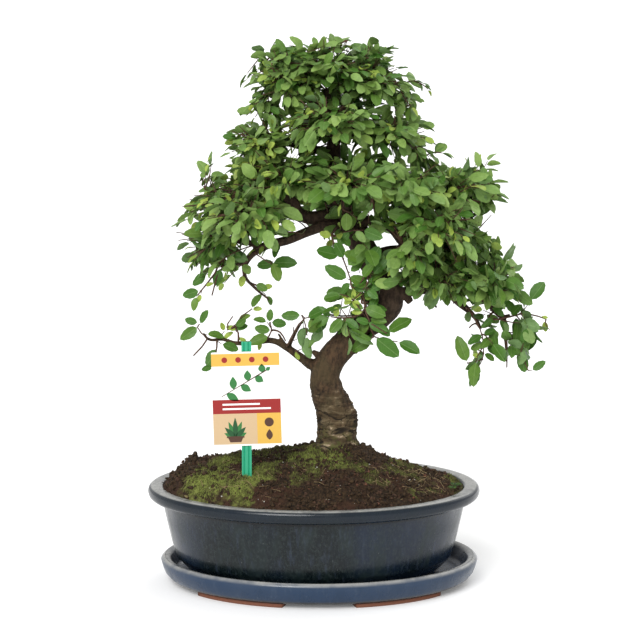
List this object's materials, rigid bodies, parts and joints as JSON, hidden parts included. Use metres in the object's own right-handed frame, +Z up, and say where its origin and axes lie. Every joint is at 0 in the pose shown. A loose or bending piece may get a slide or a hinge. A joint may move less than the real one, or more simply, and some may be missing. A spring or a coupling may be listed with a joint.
{
  "type": "potted chinese elm bonsai",
  "caption": "Chinese elm bonsai with a bending trunk and a leafy crown, in an oval glazed pot with soil, on a matching saucer, with a plant label on a stake.",
  "frame": {"origin": "middle of the whole plant's box, on the surface that the saucer stands on; the pot's middle is about 30 mm to its left", "axes": "+Z up, front of the tree towards -Y, +X to the right as seen from the front"},
  "size_m": [0.3711, 0.2422, 0.5093],
  "materials": {
    "pot_glaze": "gloss",
    "saucer_glaze": "gloss",
    "soil": "matte",
    "bark": "matte",
    "leaves": "satin",
    "card": "satin",
    "stake": "satin",
    "drain_mesh": "matte"
  },
  "bodies": {
    "root": {"saucer": "saucer_glaze", "pot": "pot_glaze", "drain_mesh_left": "drain_mesh", "drain_mesh_right": "drain_mesh", "soil": "soil", "trunk": "bark", "label_stake": "stake", "label_card": "card", "spray_apex": "leaves", "spray_top_left": "leaves", "spray_top_right": "leaves", "spray_upper_front": "leaves", "spray_upper_right": "leaves", "spray_upper_left": "leaves", "spray_upper_back": "leaves", "spray_shoulder_left": "leaves", "spray_front_mid": "leaves", "spray_shoulder_right": "leaves", "spray_left_upper": "leaves", "spray_front_left": "leaves", "spray_back_left": "leaves", "spray_right_upper": "leaves", "spray_right_tip": "leaves", "spray_front_right": "leaves", "spray_back_right": "leaves", "spray_back_mid": "leaves", "spray_left_low": "leaves", "spray_left_inner": "leaves", "spray_right_inner": "leaves", "spray_right_outer": "leaves", "spray_right_low": "leaves", "spray_right_far": "leaves", "spray_right_drop": "leaves", "spray_right_hang": "leaves", "spray_right_end": "leaves", "spray_back_low_right": "leaves", "spray_back_low_mid": "leaves", "spray_trunk_front": "leaves", "spray_trunk_low_left": "leaves", "spray_trunk_low_right": "leaves", "spray_limb_small": "leaves", "spray_low_right": "leaves", "spray_low_mid": "leaves", "spray_low_inner": "leaves", "spray_low_tip": "leaves", "spray_left_dangle": "leaves"}
  },
  "joints": []
}
